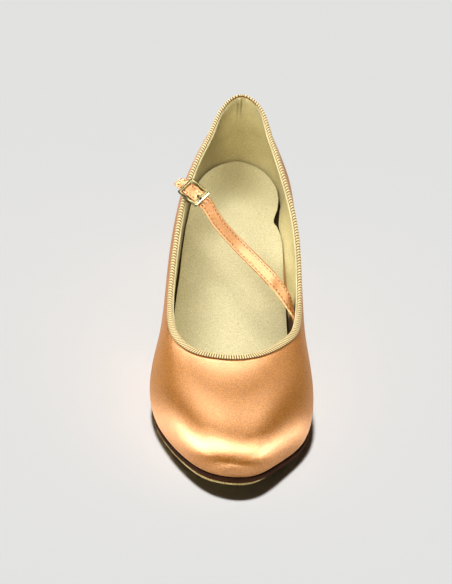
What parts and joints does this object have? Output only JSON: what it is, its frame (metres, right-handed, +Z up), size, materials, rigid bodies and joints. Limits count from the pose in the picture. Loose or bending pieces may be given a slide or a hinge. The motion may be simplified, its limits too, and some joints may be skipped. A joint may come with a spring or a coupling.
{
  "type": "ballroom dance shoe",
  "caption": "Right court shoe with a low vamp, thin bound topline, slanting instep strap and small buckle, on a tall covered heel and a thin suede sole.",
  "frame": {"origin": "middle of the bounding box at floor level, under the shoe", "axes": "toe points to -Y, the inner side of the foot is +X, +Z up from the floor"},
  "size_m": [0.0834, 0.2292, 0.1099],
  "materials": {
    "peach_satin": "satin weave",
    "gold_binding": "ribbed tape",
    "sock_leather": "fine grain",
    "brown_leatherboard": "dark edge",
    "suede": "brushed suede",
    "heel_satin": "satin weave",
    "heel_tip_plastic": "moulded",
    "strap_satin": "satin weave",
    "tab_satin": "satin weave",
    "buckle_metal": "polished",
    "prong_metal": "polished"
  },
  "bodies": {
    "root": {"upper": "peach_satin", "topline_binding": "gold_binding", "insole": "sock_leather", "sole_board": "brown_leatherboard", "suede_outsole": "suede", "covered_heel": "heel_satin", "heel_tip": "heel_tip_plastic", "instep_strap": "strap_satin", "buckle_tab": "tab_satin", "buckle_frame": "buckle_metal", "buckle_prong": "prong_metal"}
  },
  "joints": []
}
